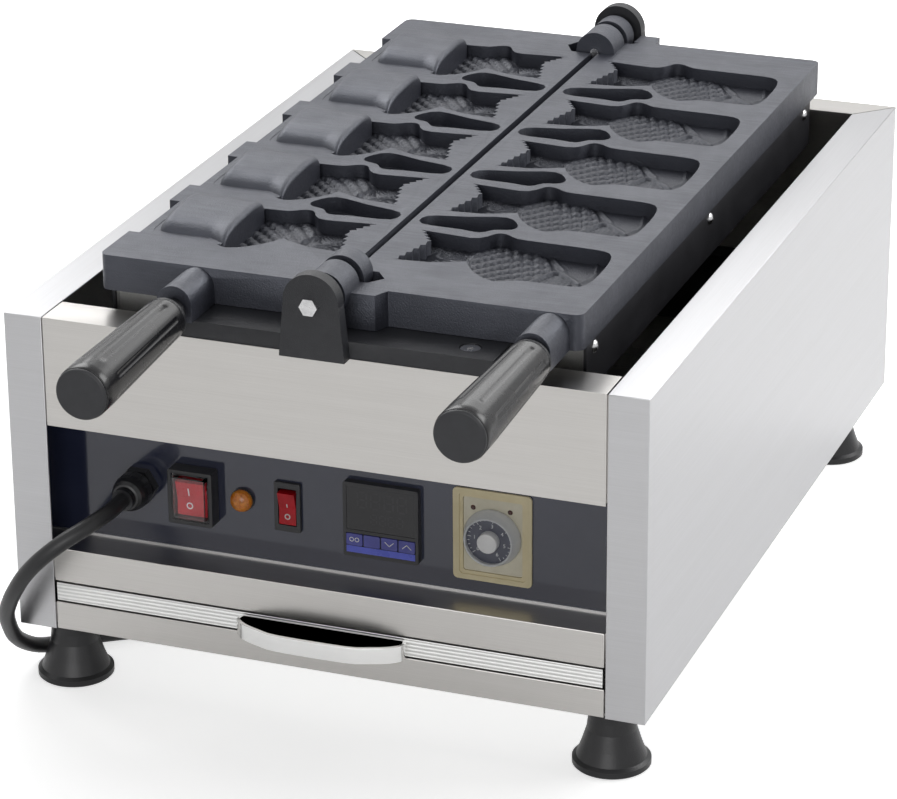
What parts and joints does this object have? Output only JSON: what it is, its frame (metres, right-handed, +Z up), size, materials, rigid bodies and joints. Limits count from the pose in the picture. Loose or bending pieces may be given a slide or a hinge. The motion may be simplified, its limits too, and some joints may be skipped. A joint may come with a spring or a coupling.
{
  "type": "taiyaki maker",
  "caption": "Countertop electric maker for fish-shaped filled waffles: cast mould halves hinged along a centre line over a heater, in a steel cabinet with drip drawer and front controls.",
  "frame": {"origin": "bottom centre of the maker without its cord, on the surface under its feet", "axes": "+Y runs from the control front to the back along the hinge line, +X to the right seen from the front, +Z up"},
  "size_m": [0.419, 0.8978, 0.3005],
  "materials": {
    "stainless": "fine brushed",
    "cast": "dark satin casting",
    "bright": "bright zinc",
    "aluminium": "satin",
    "grip": "gloss",
    "grip_end": "matt",
    "black_plastic": "satin",
    "foot": "matt",
    "cord": "satin",
    "fascia": "gloss",
    "clear_cover": "clear",
    "red": "gloss",
    "amber": "translucent",
    "window": "gloss",
    "beige": "satin",
    "dial": "matt",
    "knob": "gloss",
    "key": "matt",
    "insulation": "matt",
    "element": "heat-tinted",
    "white_plastic": "matt"
  },
  "bodies": {
    "cabinet": {"left_side_panel": "stainless", "right_side_panel": "stainless", "back_panel": "stainless", "base_pan": "stainless", "bottom_rail": "stainless", "drawer_bar": "stainless", "upper_front_panel": "stainless", "control_fascia": "fascia", "drawer_runners": "stainless", "front_left_foot": "foot", "front_right_foot": "foot", "rear_left_foot": "foot", "rear_right_foot": "foot", "front_beam": "cast", "rear_beam": "cast", "front_hinge_bolt": "bright", "rear_hinge_bolt": "bright", "screws": "bright", "heater_box": "stainless", "insulation_board": "insulation", "left_element": "element", "right_element": "element", "thermocouple": "bright", "left_skirt": "cast", "right_skirt": "cast", "cable_gland": "black_plastic", "power_switch_frame": "black_plastic", "power_switch_cover": "clear_cover", "alarm_switch_frame": "black_plastic", "pilot_lamp_body": "black_plastic", "pilot_lamp_lens": "amber", "controller_case": "black_plastic", "controller_window": "window", "timer_case": "beige", "timer_dial": "dial", "contactor": "white_plastic", "terminal_block": "white_plastic", "buzzer": "black_plastic", "power_cord": "cord", "cord_coil": "cord", "plug": "black_plastic"},
    "left_half": {"left_mould": "cast", "mouth_cores": "cast", "left_stud": "bright", "left_grip": "grip", "left_grip_cap": "grip_end"},
    "right_half": {"right_mould": "cast", "right_stud": "bright", "right_grip": "grip", "right_grip_cap": "grip_end"},
    "drawer": {"drip_tray": "stainless", "drawer_front": "aluminium", "drawer_handle": "bright"},
    "power_rocker": {"power_rocker": "red"},
    "alarm_rocker": {"alarm_rocker": "red"},
    "timer_knob": {"timer_knob": "knob"},
    "key_1": {"key_1": "key"},
    "key_2": {"key_2": "key"},
    "key_3": {"key_3": "key"},
    "key_4": {"key_4": "key"}
  },
  "joints": [
    {"name": "left_half_hinge", "type": "hinge", "parent": "cabinet", "child": "left_half", "pos_m": [0, 0, 0.2814], "axis": [0, 1, 0], "range_deg": [0, 180]},
    {"name": "right_half_hinge", "type": "hinge", "parent": "cabinet", "child": "right_half", "pos_m": [0, 0, 0.2814], "axis": [0, -1, 0], "range_deg": [0, 180]},
    {"name": "drawer_slide", "type": "slide", "parent": "cabinet", "child": "drawer", "axis": [0, -1, 0], "range_m": [0, 0.35]},
    {"name": "power_rocker_tilt", "type": "hinge", "parent": "cabinet", "child": "power_rocker", "pos_m": [-0.0932, -0.19327, 0.1338], "axis": [-1, 0, 0], "range_deg": [0, 14]},
    {"name": "alarm_rocker_tilt", "type": "hinge", "parent": "cabinet", "child": "alarm_rocker", "pos_m": [-0.0321, -0.19327, 0.1338], "axis": [-1, 0, 0], "range_deg": [0, 14]},
    {"name": "timer_knob_turn", "type": "hinge", "parent": "cabinet", "child": "timer_knob", "pos_m": [0.1, -0.19927, 0.1338], "axis": [0, 1, 0], "range_deg": [0, 280]},
    {"name": "key_1_press", "type": "slide", "parent": "cabinet", "child": "key_1", "axis": [0, 1, 0], "range_m": [0, 0.0006], "stiffness_N_per_m": 300},
    {"name": "key_2_press", "type": "slide", "parent": "cabinet", "child": "key_2", "axis": [0, 1, 0], "range_m": [0, 0.0006], "stiffness_N_per_m": 300},
    {"name": "key_3_press", "type": "slide", "parent": "cabinet", "child": "key_3", "axis": [0, 1, 0], "range_m": [0, 0.0006], "stiffness_N_per_m": 300},
    {"name": "key_4_press", "type": "slide", "parent": "cabinet", "child": "key_4", "axis": [0, 1, 0], "range_m": [0, 0.0006], "stiffness_N_per_m": 300}
  ]
}
